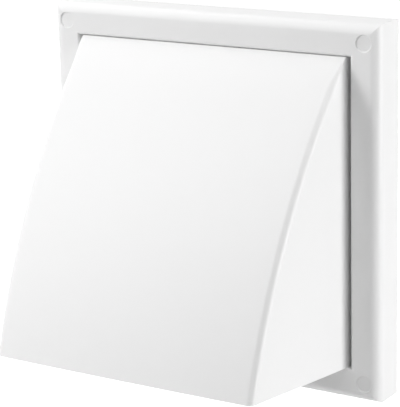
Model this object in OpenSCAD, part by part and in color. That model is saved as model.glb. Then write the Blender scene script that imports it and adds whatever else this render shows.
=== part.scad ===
// Hooded wall vent: a square frame with a round duct spigot, a plug-in hood,
// a gravity flap and a round guard grille in the duct mouth.
// +Z is up and the hood faces -Y. The origin is on the duct's axis, in the wall plane.

/* [Frame] */
// Width and height of the square frame
frame_w = 150; // [140:1:170]
// Depth of the frame, from the wall to its front face
frame_d = 16.2; // [14:0.1:22]
// Radius of the frame's front edges
frame_r = 4.2; // [2:0.1:6]
// Width of the opening that the hood plugs into
opening_w = 125.2; // [122:0.1:128]
// Height of that opening
opening_h = 124.1; // [122:0.1:128]
// Radius of the opening's front edges
opening_r = 1.2; // [0.2:0.1:1.6]
// Thickness of the frame's walls
frame_wall = 2.2; // [1.6:0.1:3]
// Diameter of the shallow round marks at the corners, halfway down their sloped walls
mark_d = 6.4; // [4:0.1:7]
// Distance between the marks, sideways
mark_pitch_x = 136.8; // [134:0.1:138]
// Distance between the marks, up and down
mark_pitch_z = 135.2; // [134:0.1:138]

/* [Duct spigot] */
// Outer diameter of the spigot, for a 100 mm duct
spigot_d = 99; // [97:0.1:100]
// Length of the spigot behind the wall plane
spigot_len = 40; // [20:1:60]
// Wall of the spigot
spigot_wall = 2; // [1.5:0.1:3]
// Distance between the wall screws, both ways
screw_pitch = 104; // [102:1:106]
// Diameter of the wall screws' holes
screw_d = 4.6; // [4:0.1:5]

/* [Hood] */
// Width of the hood where it enters the frame
hood_w = 121.8; // [116:0.1:122.4]
// Width of the hood at its front lip
hood_front_w = 117.4; // [112:0.1:120]
// Height of the hood's top above the duct's axis
hood_top = 61.9; // [58:0.1:61.9]
// Reach of the front lip, from the frame's face
hood_reach = 69.5; // [60:0.1:74]
// Height of the front lip below the duct's axis
lip_drop = 55.2; // [50:0.1:60]
// Radius of the hood's curved front, seen from the side
front_r = 281; // [250:1:400]
// How far the middle of the lip bows forward
crown = 1; // [0:0.1:3]
// Radius of the hood's outer edges
hood_edge_r = 2; // [1.5:0.1:4]
// Thickness of the hood's walls
hood_wall = 1.8; // [1.4:0.1:2.4]

/* [Flap] */
// Diameter of the flap over the duct's mouth
flap_d = 101; // [99:0.5:102]
// Thickness of the flap
flap_t = 1.3; // [1:0.1:2]
// Height of the flap's hinge above the duct's axis
hinge_z = 54; // [52.5:0.5:55]
// Diameter of the flap's stub pins
pin_d = 3; // [2.4:0.1:3.2]

/* [Guard grille] */
// Distance between the guard's bars
bar_pitch = 9; // [7:0.5:12]
// Width of the guard's bars
bar_w = 1.6; // [1.2:0.1:2.4]

/* [Hidden] */
$fn = 96;

// Where the frame's main faces lie
face_y = -frame_d;
plate_t = 2.5;
plate_y = -plate_t;
half_open = opening_w / 2;
half_high = opening_h / 2;

// The channel behind the frame's face: its inner wall, its webs and the posts behind the marks
inner_wall = 2;
web_t = 1.4;
web_places = [-37.5, 0, 37.5];
web_end = -1;
post_wall = 0.7;
post_bore_r = 1.6;
post_floor = 2;

// The marks are shallow pockets with sloped walls
mark_depth = 0.5;
mark_slope = 0.4;

// The bosses round the wall screws
screw_boss = 2.4;
screw_boss_h = 1.5;

// The duct's mouth: the spigot's bore, a shoulder for the guard and a raised seat for the flap
bore_r = spigot_d / 2 - spigot_wall;
mouth_r = bore_r - 1.4;
seat_wall = 1.8;
seat_y = -5.6;
spigot_lead = 1;
spigot_lead_in = 0.8;

// The flap hangs just in front of its seat, on an axis a little behind its plate
flap_gap = 0.3;
flap_y = seat_y - flap_gap;
hinge_y = -5.2;
barrel_r = 1.9;
barrel_half = 39;
pin_clear = 0.05;
ear_gap = 0.5;
ear_r = 3.2;
ear_in = barrel_half + ear_gap;
ear_t = 3;
ear_mouth = 0.72 * pin_d;
pin_half = ear_in + ear_t + 0.6;
flap_rim_t = 1.2;
flap_rim_h = 1;
flap_ribs = [-20, 20];

// The side view of the hood's front is one arc, through the hood's top edge and the lip
rim_gap = 0.15;
hood_bottom = rim_gap - half_high;
lip_y = face_y - hood_reach;
arc_top = [face_y, hood_top - 0.2];
arc_lip = [lip_y, -lip_drop];
chord = arc_lip - arc_top;
chord_len = norm(chord);
arc_mid = (arc_top + arc_lip) / 2;
sagitta_leg = sqrt(front_r * front_r - chord_len * chord_len / 4);
arc_centre = arc_mid + sagitta_leg * [-chord[1], chord[0]] / chord_len;
arc_steps = 26;
inner_edge_r = 0.4;

// The hood's snap hooks and their windows in the frame
hook_at = 32;
hook_w = 10;
hook_y = -9;
hook_t = 2.8;
hook_flat = 0.8;
hook_root = 0.5;
hook_out = half_open + 1.2;
hook_side_gap = 0.6;
hook_end_gap = 0.2;

// The guard's ring and bars
guard_t = 3;
guard_r = bore_r - 0.05;
guard_ring = 2.6;
bars = floor(guard_r / bar_pitch);

// Overlap of bodies that are joined, and reach of cuts beyond the body that they cut
overlap = 0.5;
beyond = 1;

// Angle at which the arc, seen from its centre, reaches a height z
function arc_angle(r, z) = asin((z - arc_centre[1]) / r);
// Half of the hood's width at a depth y
function hood_half(y) =
    (hood_w - (hood_w - hood_front_w) * max(face_y - y, 0) / hood_reach) / 2;

// A cylinder along Y, from y0 to y1, round the point x, z
module along_y(r, y0, y1, x = 0, z = 0) {
    translate([x, y0, z]) rotate([-90, 0, 0]) cylinder(r = r, h = y1 - y0);
}

// A cylinder along X, from x0 to x1, round the point y, z
module along_x(r, x0, x1, y = 0, z = 0) {
    translate([x0, y, z]) rotate([0, 90, 0]) cylinder(r = r, h = x1 - x0);
}

// A block from corner a to corner b
module block(a, b) {
    translate(a) cube(b - a);
}

// A block w wide and h high, centred on the duct's axis, from y0 to y1
module centred_block(w, h, y0, y1) {
    block([-w / 2, y0, -h / 2], [w / 2, y1, h / 2]);
}

// One placing for each corner of a rectangle
module at_corners(pitch_x, pitch_z) {
    for (x = [-1, 1], z = [-1, 1]) translate([x * pitch_x / 2, 0, z * pitch_z / 2]) children();
}

// The frame's section across its width: a bar whose two front edges are round
module frame_section() {
    difference() {
        translate([-frame_w / 2, face_y]) square([frame_w, frame_d]);
        for (s = [-1, 1]) translate([s * frame_w / 2, face_y]) difference() {
            square(2 * frame_r, center = true);
            translate([-s * frame_r, frame_r]) circle(frame_r);
        }
    }
}

// A section extruded upward and the same, or another, extruded across, so that their edges mitre
module mitred(length) {
    intersection() {
        translate([0, 0, -length / 2]) linear_extrude(length) children(0);
        rotate([0, 90, 0]) translate([0, 0, -length / 2]) linear_extrude(length) children(1);
    }
}

// The opening's section, w across, flared by a quarter round at the frame's face
module opening_section(w) {
    flared = w + 2 * opening_r;
    translate([-w / 2, face_y - beyond]) square([w, frame_d + 2 * beyond]);
    difference() {
        translate([-flared / 2, face_y - beyond]) square([flared, opening_r + beyond]);
        for (s = [-1, 1]) translate([s * flared / 2, face_y + opening_r]) circle(opening_r);
    }
}

// The channel behind the frame's face, open to the wall, with its stiffening webs and posts
module frame_channel() {
    hollow = frame_w - 2 * frame_wall;
    difference() {
        centred_block(hollow, hollow, face_y + frame_wall, beyond);
        centred_block(opening_w + 2 * inner_wall, opening_h + 2 * inner_wall, face_y, 2 * beyond);
        for (a = [0:90:270], x = web_places) rotate([0, a, 0]) {
            block([x - web_t / 2, face_y, half_high], [x + web_t / 2, web_end, frame_w / 2]);
        }
        at_corners(mark_pitch_x, mark_pitch_z) along_y(mark_d / 2 + post_wall, face_y, 2 * beyond);
    }
}

// The round marks in the frame's face, and the blind bores of the posts behind them
module marks() {
    slope_r = mark_slope / 2;
    at_corners(mark_pitch_x, mark_pitch_z) {
        translate([0, face_y, 0]) rotate([-90, 0, 0])
            cylinder(r1 = mark_d / 2 + slope_r, r2 = mark_d / 2 - slope_r, h = mark_depth);
        along_y(mark_d / 2 + slope_r, face_y - beyond, face_y);
        along_y(post_bore_r, face_y + post_floor, beyond);
    }
}

// One placing for each of the hood's four snap hooks, with +X pointing out of the frame's side
module at_hooks() {
    for (side = [0, 1], z = [-hook_at, hook_at]) mirror([side, 0, 0]) translate([0, 0, z]) children();
}

// A window in the opening's wall for each hook
module hook_windows() {
    half = hook_w / 2 + hook_side_gap;
    at_hooks() block([half_open - beyond, hook_y - hook_end_gap, -half],
                     [half_open + inner_wall + beyond, hook_y + hook_t + hook_end_gap, half]);
}

// The hooks themselves: square at the front, where they hold, and sloped at the back, to slide in
module hooks() {
    root = hood_w / 2 - hook_root;
    at_hooks() translate([0, 0, -hook_w / 2]) linear_extrude(hook_w)
        polygon([[root, hook_y], [hook_out, hook_y], [hook_out, hook_y + hook_flat], [root, hook_y + hook_t]]);
}

// One of the two open eyes in which the flap's pins turn, from x0 to x0 + ear_t
module hinge_eye(x0) {
    slot = ear_mouth / 2;
    difference() {
        union() {
            along_x(ear_r, x0, x0 + ear_t, hinge_y, hinge_z);
            block([x0, hinge_y, hinge_z - ear_r], [x0 + ear_t, plate_y + overlap, hinge_z + ear_r]);
        }
        along_x(pin_d / 2 + pin_clear, x0 - beyond, x0 + ear_t + beyond, hinge_y, hinge_z);
        block([x0 - beyond, hinge_y - ear_r - beyond, hinge_z - slot],
              [x0 + ear_t + beyond, hinge_y, hinge_z + slot]);
    }
}

// The frame's ring: rounded outside, flared inside and hollow behind
module frame_ring() {
    difference() {
        mitred(frame_w) {
            frame_section();
            frame_section();
        }
        mitred(frame_w) {
            opening_section(opening_w);
            opening_section(opening_h);
        }
        frame_channel();
    }
}

// The spigot with its bevelled end, still solid
module spigot_form() {
    r = spigot_d / 2;
    along_y(r, plate_y, spigot_len - spigot_lead);
    translate([0, spigot_len - spigot_lead, 0]) rotate([-90, 0, 0])
        cylinder(r1 = r, r2 = r - spigot_lead_in, h = spigot_lead);
}

// The frame: one moulding with its wall plate, spigot, flap seat and hinge eyes
module frame() {
    color("white") difference() {
        union() {
            frame_ring();
            centred_block(opening_w + 2 * overlap, opening_h + 2 * overlap, plate_y, 0);
            along_y(mouth_r + seat_wall, seat_y, 0);
            spigot_form();
            for (x0 = [ear_in, -ear_in - ear_t]) hinge_eye(x0);
            at_corners(screw_pitch, screw_pitch) along_y(screw_d / 2 + screw_boss, plate_y - screw_boss_h, 0);
        }
        along_y(mouth_r, seat_y - beyond, beyond);
        along_y(bore_r, 0, spigot_len + beyond);
        at_corners(screw_pitch, screw_pitch) along_y(screw_d / 2, plate_y - screw_boss_h - beyond, beyond);
        marks();
        hook_windows();
    }
}

// The hood's form, set in from its outer faces by inset, with a block for its collar
module hood_form(inset, back) {
    r = max(hood_edge_r - inset, inner_edge_r);
    mid_r = front_r - inset - r;
    below = 12;
    a_top = arc_angle(mid_r, hood_top - inset - r);
    a_end = arc_angle(mid_r, -lip_drop - below);
    hull() {
        for (i = [0:arc_steps]) {
            a = a_top + (a_end - a_top) * i / arc_steps;
            y = arc_centre[0] - mid_r * cos(a);
            z = arc_centre[1] + mid_r * sin(a);
            half = hood_half(y) - inset - r;
            for (t = [-1:0.25:1]) {
                bow = crown * i / arc_steps * (1 - t * t);
                translate([t * half, y - bow, z]) sphere(r, $fn = abs(t) == 1 ? 24 : 6);
            }
        }
        half = hood_w / 2 - inset;
        foot = hood_bottom - below;
        block([-half, -6, foot], [half, back, hood_top - inset]);
        block([-half, face_y, foot], [half, back, hood_top - inset - 3]);
    }
}

// Everything below the hood's rim, which climbs from the frame to the lip
module below_rim() {
    front = lip_y - 20;
    floor_z = -120;
    translate([-100, 0, 0]) rotate([90, 0, 90]) linear_extrude(200)
        polygon([[beyond, hood_bottom], [face_y, hood_bottom], [lip_y, -lip_drop],
                 [front, -lip_drop + 1.8], [front, floor_z], [beyond, floor_z]]);
}

// The hood: a shell with a collar that plugs into the frame, and four snap hooks
module hood() {
    color("white") {
        difference() {
            hood_form(0, plate_y);
            hood_form(hood_wall, beyond);
            below_rim();
        }
        hooks();
    }
}

// The flap's outline in its own plane: round at the foot, straight up to the hinge
module flap_outline() {
    circle(flap_d / 2);
    translate([-barrel_half, 0]) square([2 * barrel_half, hinge_z]);
}

// The flap's raised rim and upright ribs, in the flap's own plane
module flap_relief() {
    difference() {
        circle(flap_d / 2);
        circle(flap_d / 2 - flap_rim_t);
    }
    intersection() {
        circle(flap_d / 2 - flap_rim_t / 2);
        for (x = flap_ribs) translate([x - flap_rim_t / 2, -flap_d]) square([flap_rim_t, 2 * flap_d]);
    }
}

// The flap: a stiffened plate with a barrel and two stub pins
module flap() {
    color("white") {
        translate([0, flap_y, 0]) rotate([90, 0, 0]) {
            linear_extrude(flap_t) flap_outline();
            linear_extrude(flap_t + flap_rim_h) flap_relief();
        }
        along_x(barrel_r, -barrel_half, barrel_half, hinge_y, hinge_z);
        along_x(pin_d / 2, -pin_half, pin_half, hinge_y, hinge_z);
    }
}

// The guard: a round lattice that seats behind the mouth's shoulder
module guard_grille() {
    color("white") translate([0, guard_t, 0]) rotate([90, 0, 0]) linear_extrude(guard_t) {
        difference() {
            circle(guard_r);
            circle(guard_r - guard_ring);
        }
        intersection() {
            circle(guard_r - guard_ring / 2);
            for (i = [-bars:bars]) {
                translate([i * bar_pitch - bar_w / 2, -guard_r]) square([bar_w, 2 * guard_r]);
                translate([-guard_r, i * bar_pitch - bar_w / 2]) square([2 * guard_r, bar_w]);
            }
        }
    }
}

frame();
hood();
flap();
guard_grille();
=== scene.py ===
# Looks of the hooded wall vent: white moulded plastic in soft studio light
import math

import bmesh
import bpy
from mathutils import Matrix, Vector


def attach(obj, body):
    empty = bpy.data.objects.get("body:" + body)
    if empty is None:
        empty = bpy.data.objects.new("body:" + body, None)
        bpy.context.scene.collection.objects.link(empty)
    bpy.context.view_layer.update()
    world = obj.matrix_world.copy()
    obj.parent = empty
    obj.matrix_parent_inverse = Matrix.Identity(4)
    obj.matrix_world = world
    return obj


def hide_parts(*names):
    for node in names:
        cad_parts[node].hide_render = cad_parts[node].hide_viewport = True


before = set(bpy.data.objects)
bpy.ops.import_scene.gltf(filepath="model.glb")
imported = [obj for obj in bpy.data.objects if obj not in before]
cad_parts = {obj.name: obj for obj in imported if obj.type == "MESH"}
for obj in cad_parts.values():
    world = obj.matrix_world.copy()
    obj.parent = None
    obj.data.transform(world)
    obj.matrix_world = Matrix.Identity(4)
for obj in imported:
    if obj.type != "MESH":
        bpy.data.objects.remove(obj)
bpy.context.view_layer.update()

# The photograph's camera, in degrees and metres, aimed at a point on the frame's face
FACE_Y = -0.0162
VIEW_AZIMUTH = 32.48
VIEW_ELEVATION = 14.80
VIEW_ROLL = -1.39
VIEW_DISTANCE = 0.7389
AIM_RIGHT = -0.00465
AIM_UP = -0.00226
FOCAL_PIXELS = 1838.1
PHOTO_LONG_SIDE = 407
SENSOR = 36.0

# The hood's form, in metres, as the solids have it, apart from the rounding of its edges
PLATE_Y = -0.0025
HOOD_WIDTH = 0.1218
LIP_WIDTH = 0.1174
HOOD_TOP = 0.0619
HOOD_REACH = 0.0695
LIP_DROP = 0.0552
FRONT_RADIUS = 0.281
ARC_TOP_DROP = 0.0002
CROWN = 0.00053
HOOD_WALL = 0.0018
HOOD_BOTTOM = -0.0619
COLLAR_FRONT = FACE_Y + 0.004

# The edges' radii: of the sides in the collar and near the lip, of the top and of the inside
COLLAR_RADIUS = 0.0005
EDGE_RADIUS = 0.0026
TOP_RADIUS = 0.0008
INNER_RADIUS = 0.0004
# Part of the front's arc over which the side edges grow to their full radius
BLEND_REACH = 0.10
# Width of the bevel on all sharp edges, and the angle at which an edge counts as sharp
SOFT_EDGE = 0.0003
SHARP_ANGLE = 50

# Fineness of the hood's mesh: down the front, across it and round each edge
STEPS = 60
ACROSS = 24
TURNS = 6

# The collar's snap hooks
HOOK_HALF = 0.005
HOOK_Z = 0.032
HOOK_ROOT = HOOD_WIDTH / 2 - 0.0005
HOOK_TIP = 0.0638
HOOK_FRONT = -0.0090
HOOK_FLAT = 0.0008
HOOK_DEPTH = 0.0028

# The plastic: how far light goes into it, and the scales of its flow pattern and its fine texture
TRANSLUCENCY = 0.3
LIGHT_DEPTH = 0.002
FLOW_SCALE = 14.0
GRAIN_SCALE = 1400.0
GRAIN_STRENGTH = 0.03
GRAIN_DEPTH = 0.0001

# The floor lies below the vent, which hangs on its mount: its matt tone, and the strength near the
# vent of the glow that camera and mirrored rays see, which is 1 beyond the shadow
FLOOR_Z = -0.30
FLOOR_HALF = 12.0
FLOOR_TONE = 0.8
GLOW_NEAR = 0.8
SHADOW_REACH = 0.45
SHADOW_FADE = 0.25

# Square lamps round the vent: azimuth, elevation and power of each
LAMP_DISTANCE = 1.2
LAMP_SIZE = 0.42
LAMPS = {
    "key_low": (-45, 0, 1.9),
    "key": (-45, 20, 4.0),
    "key_high": (-45, 42, 3.3),
    "right": (100, 0, 7.8),
    "high_right": (60, 60, 4.2),
    "left_high": (-100, 50, 3.6),
    "left_rear": (-120, 20, 1.8),
    "overhead": (0, 89, 1.6),
}
AMBIENT = 0.1


def direction(azimuth, elevation):
    """Unit vector from the object towards azimuth and elevation, in degrees; azimuth 0 is the front."""
    a, e = math.radians(azimuth), math.radians(elevation)
    return Vector((math.sin(a) * math.cos(e), -math.cos(a) * math.cos(e), math.sin(e)))


def add_camera():
    """The camera at the photograph's place, with its small roll."""
    back = direction(VIEW_AZIMUTH, VIEW_ELEVATION)
    right = (-back).cross(Vector((0, 0, 1))).normalized()
    up = right.cross(-back)
    roll = math.radians(VIEW_ROLL)
    right, up = (
        right * math.cos(roll) + up * math.sin(roll),
        up * math.cos(roll) - right * math.sin(roll),
    )
    aim = Vector((0, FACE_Y, 0)) + right * AIM_RIGHT + up * AIM_UP
    data = bpy.data.cameras.new("camera")
    data.sensor_width = SENSOR
    data.lens = FOCAL_PIXELS * SENSOR / PHOTO_LONG_SIDE
    camera = bpy.data.objects.new("camera", data)
    turn = Matrix((right, up, back)).transposed().to_4x4()
    camera.matrix_world = Matrix.Translation(aim + back * VIEW_DISTANCE) @ turn
    bpy.context.scene.collection.objects.link(camera)
    bpy.context.scene.camera = camera


def node(tree, kind, **values):
    """A shader node of a kind, with its properties or input sockets set."""
    n = tree.nodes.new(kind)
    for name, value in values.items():
        key = name.replace("_", " ")
        if key in n.inputs:
            n.inputs[key].default_value = value
        else:
            setattr(n, name, value)
    return n


def white_plastic(name, tone, roughness):
    """White moulded plastic: a faint flow pattern in its tone and gloss, and a very fine texture."""
    material = bpy.data.materials.new(name)
    material.use_nodes = True
    tree = material.node_tree
    shader = tree.nodes["Principled BSDF"]
    shader.inputs["IOR"].default_value = 1.49
    shader.inputs["Subsurface Weight"].default_value = TRANSLUCENCY
    shader.inputs["Subsurface Radius"].default_value = (1, 1, 1)
    shader.inputs["Subsurface Scale"].default_value = LIGHT_DEPTH
    link = tree.links.new
    place = node(tree, "ShaderNodeTexCoord")
    flow = node(tree, "ShaderNodeTexNoise", Scale=FLOW_SCALE, Detail=3.0, Roughness=0.5)
    link(place.outputs["Object"], flow.inputs["Vector"])
    tint = node(tree, "ShaderNodeMix", data_type="RGBA")
    darker = tone * 0.985
    tint.inputs["A"].default_value = (darker, darker, darker, 1)
    tint.inputs["B"].default_value = (tone, tone, tone, 1)
    link(flow.outputs["Fac"], tint.inputs["Factor"])
    link(tint.outputs["Result"], shader.inputs["Base Color"])
    gloss = node(tree, "ShaderNodeMapRange", To_Min=roughness - 0.03, To_Max=roughness + 0.03)
    link(flow.outputs["Fac"], gloss.inputs["Value"])
    link(gloss.outputs["Result"], shader.inputs["Roughness"])
    fine = node(tree, "ShaderNodeTexNoise", Scale=GRAIN_SCALE, Detail=2.0, Roughness=0.6)
    link(place.outputs["Object"], fine.inputs["Vector"])
    bump = node(tree, "ShaderNodeBump", Strength=GRAIN_STRENGTH, Distance=GRAIN_DEPTH)
    link(fine.outputs["Fac"], bump.inputs["Height"])
    link(bump.outputs["Normal"], shader.inputs["Normal"])
    return material


def dress(name, material):
    """Gives a CAD node its finish."""
    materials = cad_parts[name].data.materials
    materials.clear()
    materials.append(material)


def arc_centre():
    """Centre, in the side view, of the arc through the hood's top edge and its lip."""
    top = Vector((FACE_Y, HOOD_TOP - ARC_TOP_DROP))
    lip = Vector((FACE_Y - HOOD_REACH, -LIP_DROP))
    chord = lip - top
    leg = math.sqrt(FRONT_RADIUS**2 - chord.length_squared / 4)
    return (top + lip) / 2 + leg * Vector((-chord.y, chord.x)) / chord.length


def hood_half(y):
    """Half of the hood's width at a depth y: straight in the collar, drafted in front of it."""
    forward = max(FACE_Y - y, 0)
    return (HOOD_WIDTH - (HOOD_WIDTH - LIP_WIDTH) * forward / HOOD_REACH) / 2


def rim_height(y):
    """Height of the rim's plane, which climbs from the frame to the lip."""
    return HOOD_BOTTOM + (-LIP_DROP - HOOD_BOTTOM) * (FACE_Y - y) / HOOD_REACH


def hood_path(inset, bend):
    """Side view of one face of the hood: points, outward normals and how far down the arc they are."""
    centre = arc_centre()
    arc = FRONT_RADIUS - inset
    start = math.asin((HOOD_TOP - inset - bend - centre.y) / (arc - bend))
    end = math.asin((-LIP_DROP - centre.y) / arc)
    knee = Vector((centre.x - (arc - bend) * math.cos(start), HOOD_TOP - inset - bend))
    path = []
    for y in (PLATE_Y, COLLAR_FRONT):
        path.append((Vector((y, HOOD_TOP - inset)), Vector((0, 1)), 0))
    for i in range(TURNS):
        a = math.radians(90) + (start - math.radians(90)) * i / TURNS
        normal = Vector((-math.cos(a), math.sin(a)))
        path.append((knee + bend * normal, normal, 0))
    for i in range(STEPS + 1):
        a = start + (end - start) * i / STEPS
        normal = Vector((-math.cos(a), math.sin(a)))
        path.append((centre + arc * normal, normal, i / STEPS))
    return path


def edge_radius(down, largest):
    """Radius of the hood's side edges: small in the collar, growing over the top of the front."""
    grown = min(down / BLEND_REACH, 1)
    smooth = grown * grown * (3 - 2 * grown)
    return min(largest, COLLAR_RADIUS + (EDGE_RADIUS - COLLAR_RADIUS) * smooth)


def cross_section(half, radius, bow):
    """Points across the hood: sideways, outward from the edges' centres, and forward by the bow."""
    turns = [math.radians(90) * k / TURNS for k in range(TURNS)]
    spots = [(-half - radius * math.cos(a), radius * math.sin(a), 0) for a in turns]
    for k in range(ACROSS + 1):
        t = 2 * k / ACROSS - 1
        spots.append((t * half, radius, bow * (1 - t * t)))
    spots += [(half + radius * math.cos(a), radius * math.sin(a), 0) for a in reversed(turns)]
    return spots


def move_to_rim(y, z, normal):
    """Moves a point of the last ring along the front until it lies in the rim's plane."""
    along = Vector((-normal.y, normal.x))
    slope = (LIP_DROP + HOOD_BOTTOM) / HOOD_REACH
    move = (rim_height(y) - z) / (along.y - slope * along.x)
    return y + along.x * move, z + along.y * move


def add_sided_face(bm, loop, side):
    """A face of the right side (1), or its mirror image on the left (-1)."""
    bm.faces.new(loop if side > 0 else loop[::-1])


def add_cheek(bm, side, edge, inset):
    """The flat side of one face of the wall, in collar and cheek; returns its two lower corners."""
    x = side * (HOOD_WIDTH / 2 - inset)
    back = bm.verts.new((x, PLATE_Y, HOOD_BOTTOM))
    bend = bm.verts.new((x, FACE_Y, HOOD_BOTTOM))
    collar = [v for v in edge if v.co.y > FACE_Y]
    cheek = [v for v in edge if v.co.y <= FACE_Y]
    top = bm.verts.new((x, FACE_Y, collar[-1].co.z))
    for loop in ([*collar, top, bend, back], [top, *cheek, bend], [collar[-1], top, cheek[0]]):
        add_sided_face(bm, loop, side)
    return back, bend


def hood_skin(bm, inset, bend, largest):
    """One face of the hood's wall, from rings of points; returns its open border in order."""
    rings = []
    path = hood_path(inset, bend)
    for index, (surface, normal, down) in enumerate(path):
        radius = edge_radius(down, largest)
        centre = surface - radius * normal
        half = hood_half(centre.x) - inset - radius
        ring = []
        for x, out, bow in cross_section(half, radius, CROWN * down):
            y = centre.x + normal.x * out - bow
            z = centre.y + normal.y * out
            if index == len(path) - 1:
                y, z = move_to_rim(y, z, normal)
            ring.append(bm.verts.new((x, y, z)))
        rings.append(ring)
    for upper, lower in zip(rings, rings[1:]):
        for k in range(len(upper) - 1):
            bm.faces.new((upper[k], lower[k], lower[k + 1], upper[k + 1]))
    left_back, left_bend = add_cheek(bm, -1, [ring[0] for ring in rings], inset)
    right_back, right_bend = add_cheek(bm, 1, [ring[-1] for ring in rings], inset)
    return [left_back, *rings[0], right_back, right_bend, *rings[-1][::-1], left_bend]


def add_hooks(bm):
    """The four snap hooks on the collar's sides."""
    outline = [
        (HOOK_ROOT, HOOK_FRONT),
        (HOOK_TIP, HOOK_FRONT),
        (HOOK_TIP, HOOK_FRONT + HOOK_FLAT),
        (HOOK_ROOT, HOOK_FRONT + HOOK_DEPTH),
    ]
    for side in (-1, 1):
        for height in (-HOOK_Z, HOOK_Z):
            low = [bm.verts.new((side * x, y, height - HOOK_HALF)) for x, y in outline]
            high = [bm.verts.new((side * x, y, height + HOOK_HALF)) for x, y in outline]
            loops = [low[::-1], high]
            loops += [(low[i], low[i - 3], high[i - 3], high[i]) for i in range(4)]
            for loop in loops:
                add_sided_face(bm, loop, side)


def add_hood(material):
    """The hood's moulding, finer than the solid that it stands for, with its edges softened."""
    bm = bmesh.new()
    outer = hood_skin(bm, 0, TOP_RADIUS, EDGE_RADIUS)
    inner = hood_skin(bm, HOOD_WALL, INNER_RADIUS, INNER_RADIUS)
    for i in range(len(outer)):
        bm.faces.new((outer[i - 1], outer[i], inner[i], inner[i - 1]))
    add_hooks(bm)
    bmesh.ops.recalc_face_normals(bm, faces=bm.faces)
    mesh = bpy.data.meshes.new("hood_moulding")
    bm.to_mesh(mesh)
    bm.free()
    mesh.materials.append(material)
    mesh.shade_smooth()
    hood = bpy.data.objects.new("hood_moulding", mesh)
    bpy.context.scene.collection.objects.link(hood)
    soften = hood.modifiers.new("soft_edges", "BEVEL")
    soften.width = SOFT_EDGE
    soften.segments = 2
    soften.limit_method = "ANGLE"
    soften.angle_limit = math.radians(SHARP_ANGLE)
    hood.modifiers.new("flat_sides", "WEIGHTED_NORMAL")
    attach(hood, "vent")
    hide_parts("hood")


def seen_ray(tree):
    """Is this ray the camera's, or one that is mirrored or let through by the object?"""
    path = node(tree, "ShaderNodeLightPath")
    first = node(tree, "ShaderNodeMath", operation="MAXIMUM")
    tree.links.new(path.outputs["Is Camera Ray"], first.inputs[0])
    tree.links.new(path.outputs["Is Glossy Ray"], first.inputs[1])
    both = node(tree, "ShaderNodeMath", operation="MAXIMUM")
    tree.links.new(first.outputs[0], both.inputs[0])
    tree.links.new(path.outputs["Is Transmission Ray"], both.inputs[1])
    return both.outputs[0]


def floor_material():
    """A pale matt surface that is white to the camera far out and darker round the vent's shadow."""
    material = bpy.data.materials.new("floor")
    material.use_nodes = True
    tree = material.node_tree
    tree.nodes.clear()
    out = node(tree, "ShaderNodeOutputMaterial")
    surface = node(tree, "ShaderNodeBsdfDiffuse", Color=(FLOOR_TONE, FLOOR_TONE, FLOOR_TONE, 1))
    place = node(tree, "ShaderNodeTexCoord")
    reach = node(tree, "ShaderNodeVectorMath", operation="LENGTH")
    fade = node(tree, "ShaderNodeMapRange", interpolation_type="SMOOTHSTEP")
    fade.inputs["From Min"].default_value = SHADOW_REACH
    fade.inputs["From Max"].default_value = SHADOW_REACH + SHADOW_FADE
    fade.inputs["To Min"].default_value = GLOW_NEAR
    fade.inputs["To Max"].default_value = 1.0
    level = node(tree, "ShaderNodeMath", operation="MULTIPLY")
    glow = node(tree, "ShaderNodeEmission", Color=(1, 1, 1, 1))
    both = node(tree, "ShaderNodeAddShader")
    link = tree.links.new
    link(place.outputs["Object"], reach.inputs[0])
    link(reach.outputs["Value"], fade.inputs["Value"])
    link(fade.outputs["Result"], level.inputs[0])
    link(seen_ray(tree), level.inputs[1])
    link(level.outputs[0], glow.inputs["Strength"])
    link(surface.outputs[0], both.inputs[0])
    link(glow.outputs[0], both.inputs[1])
    link(both.outputs[0], out.inputs["Surface"])
    return material


def add_floor():
    """A plain pale floor, which runs into the white background."""
    mesh = bpy.data.meshes.new("floor")
    h = FLOOR_HALF
    corners = [(-h, -h, FLOOR_Z), (h, -h, FLOOR_Z), (h, h, FLOOR_Z), (-h, h, FLOOR_Z)]
    mesh.from_pydata(corners, [], [(0, 1, 2, 3)])
    mesh.materials.append(floor_material())
    floor = bpy.data.objects.new("floor", mesh)
    bpy.context.scene.collection.objects.link(floor)


def add_lamp(name, azimuth, elevation, power):
    """A square soft light, aimed at the vent."""
    data = bpy.data.lights.new(name, "AREA")
    data.size = LAMP_SIZE
    data.energy = power
    lamp = bpy.data.objects.new(name, data)
    lamp.location = direction(azimuth, elevation) * LAMP_DISTANCE
    lamp.rotation_mode = "QUATERNION"
    lamp.rotation_quaternion = direction(azimuth, elevation).to_track_quat("Z", "Y")
    bpy.context.scene.collection.objects.link(lamp)


def add_world():
    """A white surround for the camera, and an even, weaker fill for the object."""
    world = bpy.data.worlds.new("studio")
    bpy.context.scene.world = world
    world.use_nodes = True
    tree = world.node_tree
    background = tree.nodes["Background"]
    background.inputs["Color"].default_value = (1, 1, 1, 1)
    level = node(tree, "ShaderNodeMapRange", To_Min=AMBIENT, To_Max=1.0)
    tree.links.new(seen_ray(tree), level.inputs["Value"])
    tree.links.new(level.outputs["Result"], background.inputs["Strength"])


add_camera()
satin = white_plastic("satin_plastic", 0.86, 0.45)
matt = white_plastic("matt_plastic", 0.82, 0.55)
dress("frame", satin)
add_hood(satin)
dress("flap", matt)
dress("guard_grille", matt)
add_floor()
for lamp_name, setting in LAMPS.items():
    add_lamp(lamp_name, *setting)
add_world()

bpy.context.scene.view_settings.view_transform = "Standard"
